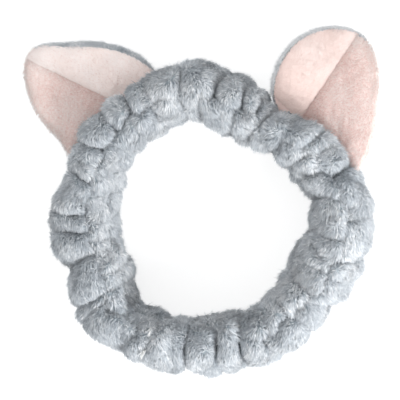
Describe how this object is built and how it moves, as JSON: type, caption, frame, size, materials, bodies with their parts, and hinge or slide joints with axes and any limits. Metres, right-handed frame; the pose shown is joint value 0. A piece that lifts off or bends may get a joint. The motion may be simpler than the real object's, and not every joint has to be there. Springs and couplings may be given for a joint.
{
  "type": "spa headband",
  "caption": "Stretchy plush spa headband: a gathered fabric ring over an elastic loop, with padded, folded cat ears sewn to its outside, for holding hair off the face.",
  "frame": {"origin": "on the ring's axis, at half the width of the band", "axes": "+Z along the ring's axis, towards the side that the ears' pink linings face; +Y towards the ears; the band lies flat on its rear edge at the lowest Z"},
  "size_m": [0.2108, 0.2072, 0.06],
  "materials": {
    "grey_plush": "long soft coral-fleece pile, matte with a light sheen",
    "pink_plush": "short dense velvet pile, matte",
    "elastic": "woven rubber-cored elastic tape, ribbed",
    "white_thread": "polyester sewing thread",
    "grey_thread": "polyester sewing thread sunk in the pile",
    "wadding": "soft polyester wadding"
  },
  "bodies": {
    "band": {"band_outer_panel": "grey_plush", "band_inner_panel": "grey_plush", "front_edge_seam": "grey_thread", "rear_edge_seam": "grey_thread", "closing_seam": "grey_thread", "elastic_band": "elastic", "elastic_join_stitching": "white_thread", "left_ear_base_seam": "grey_thread", "right_ear_base_seam": "grey_thread"},
    "left_ear": {"left_ear_lining": "pink_plush", "left_ear_back": "grey_plush", "left_ear_wadding": "wadding", "left_ear_edge_seam": "grey_thread"},
    "right_ear": {"right_ear_lining": "pink_plush", "right_ear_back": "grey_plush", "right_ear_wadding": "wadding", "right_ear_edge_seam": "grey_thread"}
  },
  "joints": [
    {"name": "left_ear_fold", "type": "hinge", "parent": "band", "child": "left_ear", "pos_m": [-0.05927, 0.05805, 0], "axis": [0.7431, 0.6691, 0], "range_deg": [-30, 30], "stiffness_Nm_per_rad": 0.06},
    {"name": "right_ear_fold", "type": "hinge", "parent": "band", "child": "right_ear", "pos_m": [0.06535, 0.04747, 0], "axis": [0.7431, -0.6691, 0], "range_deg": [-30, 30], "stiffness_Nm_per_rad": 0.06}
  ]
}
